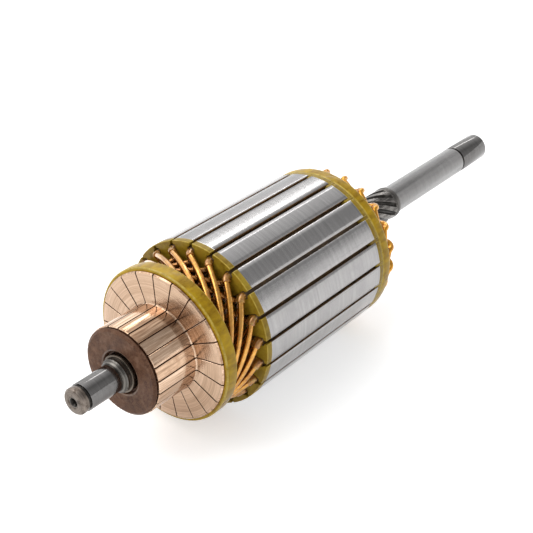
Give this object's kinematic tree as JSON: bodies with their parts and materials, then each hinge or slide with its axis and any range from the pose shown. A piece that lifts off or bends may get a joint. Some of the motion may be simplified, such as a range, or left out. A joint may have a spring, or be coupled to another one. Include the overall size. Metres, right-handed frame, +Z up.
{
  "type": "motor armature",
  "caption": "Wound armature of a direct-current starter motor: slotted steel stack, hairpin winding, disc-riser commutator and a shaft with helical splines.",
  "frame": {"origin": "on the shaft axis, at the middle of the commutator-end journal", "axes": "+X along the shaft from the commutator end to the drive end, +Z up, +Y to the left when looking along +X"},
  "size_m": [0.2561, 0.063, 0.063],
  "materials": {
    "ground_steel": "ground steel with fine turning lines, dark in the splines and grooves",
    "bush_steel": "pale machined steel bush",
    "core_steel": "ground electrical-steel laminations",
    "phenolic": "brown phenolic moulding with a machined rim",
    "resin_glass": "olive-yellow glass-fibre resin, slightly translucent at its edges",
    "insulating_paper": "varnished insulating paper",
    "commutator_copper": "freshly turned copper with fine tool marks",
    "enamelled_copper": "enamelled copper wire, glossy"
  },
  "bodies": {
    "root": {"shaft": "ground_steel", "commutator_bush": "bush_steel", "commutator_moulding": "phenolic", "riser_band": "resin_glass", "lamination_stack": "core_steel", "front_end_plate": "resin_glass", "rear_end_plate": "resin_glass", "slot_liners": "insulating_paper", "layer_separators": "insulating_paper", "front_shaft_sleeve": "insulating_paper", "rear_shaft_sleeve": "insulating_paper", "rear_band": "resin_glass", "commutator_bar_01": "commutator_copper", "commutator_bar_02": "commutator_copper", "commutator_bar_03": "commutator_copper", "commutator_bar_04": "commutator_copper", "commutator_bar_05": "commutator_copper", "commutator_bar_06": "commutator_copper", "commutator_bar_07": "commutator_copper", "commutator_bar_08": "commutator_copper", "commutator_bar_09": "commutator_copper", "commutator_bar_10": "commutator_copper", "commutator_bar_11": "commutator_copper", "commutator_bar_12": "commutator_copper", "commutator_bar_13": "commutator_copper", "commutator_bar_14": "commutator_copper", "commutator_bar_15": "commutator_copper", "commutator_bar_16": "commutator_copper", "commutator_bar_17": "commutator_copper", "commutator_bar_18": "commutator_copper", "commutator_bar_19": "commutator_copper", "commutator_bar_20": "commutator_copper", "commutator_bar_21": "commutator_copper", "coil_01": "enamelled_copper", "coil_02": "enamelled_copper", "coil_03": "enamelled_copper", "coil_04": "enamelled_copper", "coil_05": "enamelled_copper", "coil_06": "enamelled_copper", "coil_07": "enamelled_copper", "coil_08": "enamelled_copper", "coil_09": "enamelled_copper", "coil_10": "enamelled_copper", "coil_11": "enamelled_copper", "coil_12": "enamelled_copper", "coil_13": "enamelled_copper", "coil_14": "enamelled_copper", "coil_15": "enamelled_copper", "coil_16": "enamelled_copper", "coil_17": "enamelled_copper", "coil_18": "enamelled_copper", "coil_19": "enamelled_copper", "coil_20": "enamelled_copper", "coil_21": "enamelled_copper"}
  },
  "joints": []
}
